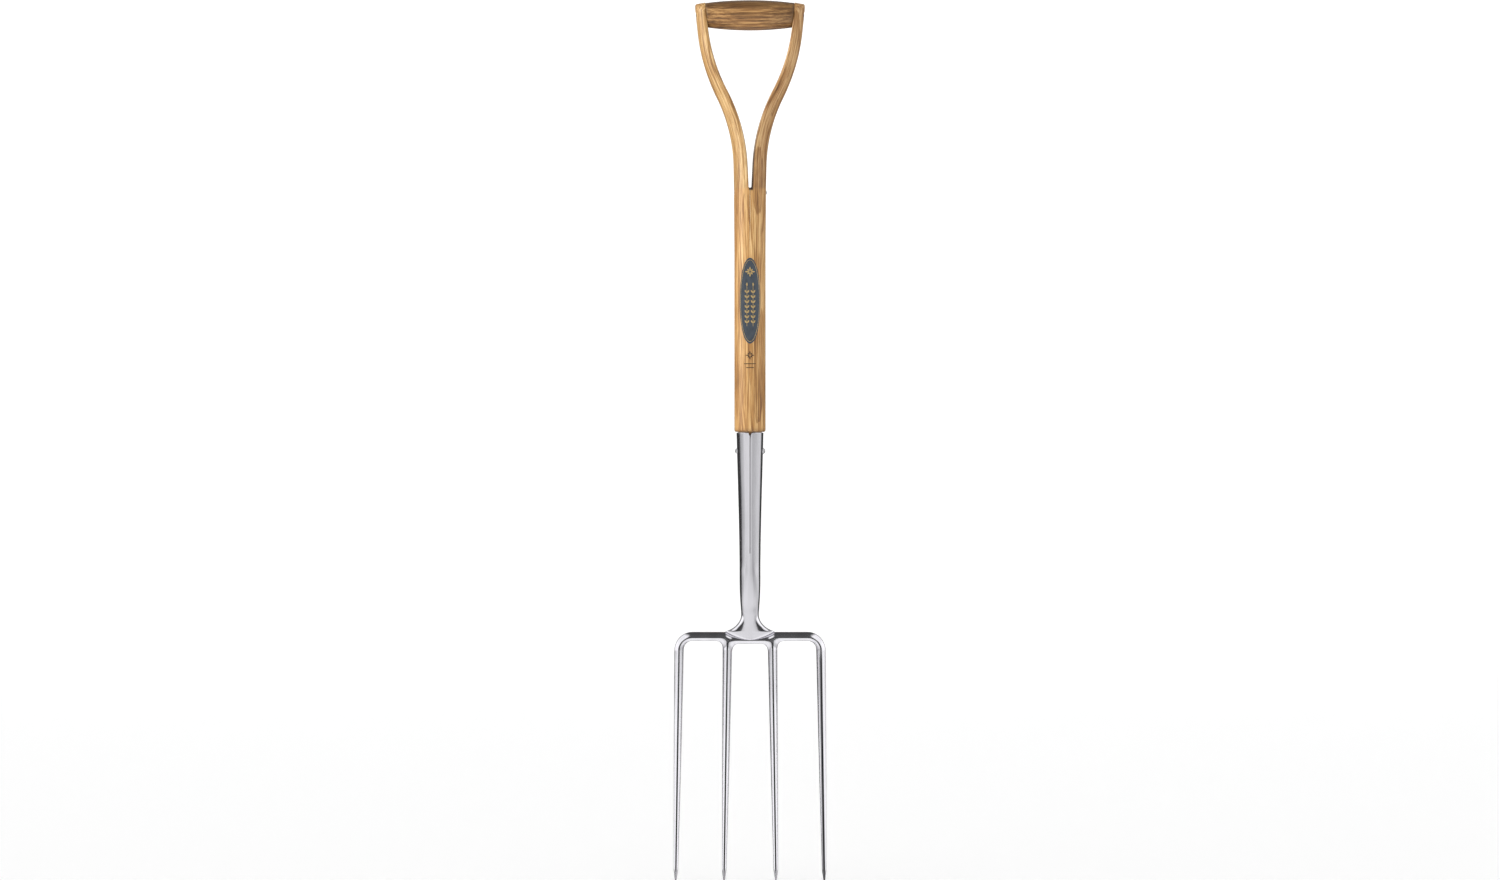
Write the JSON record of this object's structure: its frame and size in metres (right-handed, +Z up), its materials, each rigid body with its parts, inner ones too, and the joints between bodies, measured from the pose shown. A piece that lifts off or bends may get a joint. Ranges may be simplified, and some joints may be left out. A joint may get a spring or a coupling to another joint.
{
  "type": "digging fork",
  "caption": "Garden digging fork with straight pointed tines, a tapered steel socket and a wooden shaft that parts into a D-shaped hand grip.",
  "frame": {"origin": "on the ground under the middle of the fork's width and depth, with the fork standing on its tine tips", "axes": "+Z up along the shaft, +X to the right seen from the front, -Y towards the front: the side that the tines lean to, with the label and the socket's seam"},
  "size_m": [0.179, 0.0562, 1.035],
  "materials": {
    "polished_steel": "polished, with fine lengthways grinding lines",
    "ash": "satin lacquer over stained ash",
    "dark_ash": "satin lacquer over darker stained ash",
    "rivet_steel": "plain, hammered ends",
    "label_film": "thin satin transfer film"
  },
  "bodies": {
    "root": {"fork_head": "polished_steel", "handle_shaft": "ash", "hand_grip": "dark_ash", "grip_rod": "rivet_steel", "grip_burr_left": "rivet_steel", "grip_burr_right": "rivet_steel", "yoke_rivet": "rivet_steel", "yoke_burr": "rivet_steel", "socket_rivet": "rivet_steel", "shaft_label": "label_film"}
  },
  "joints": []
}
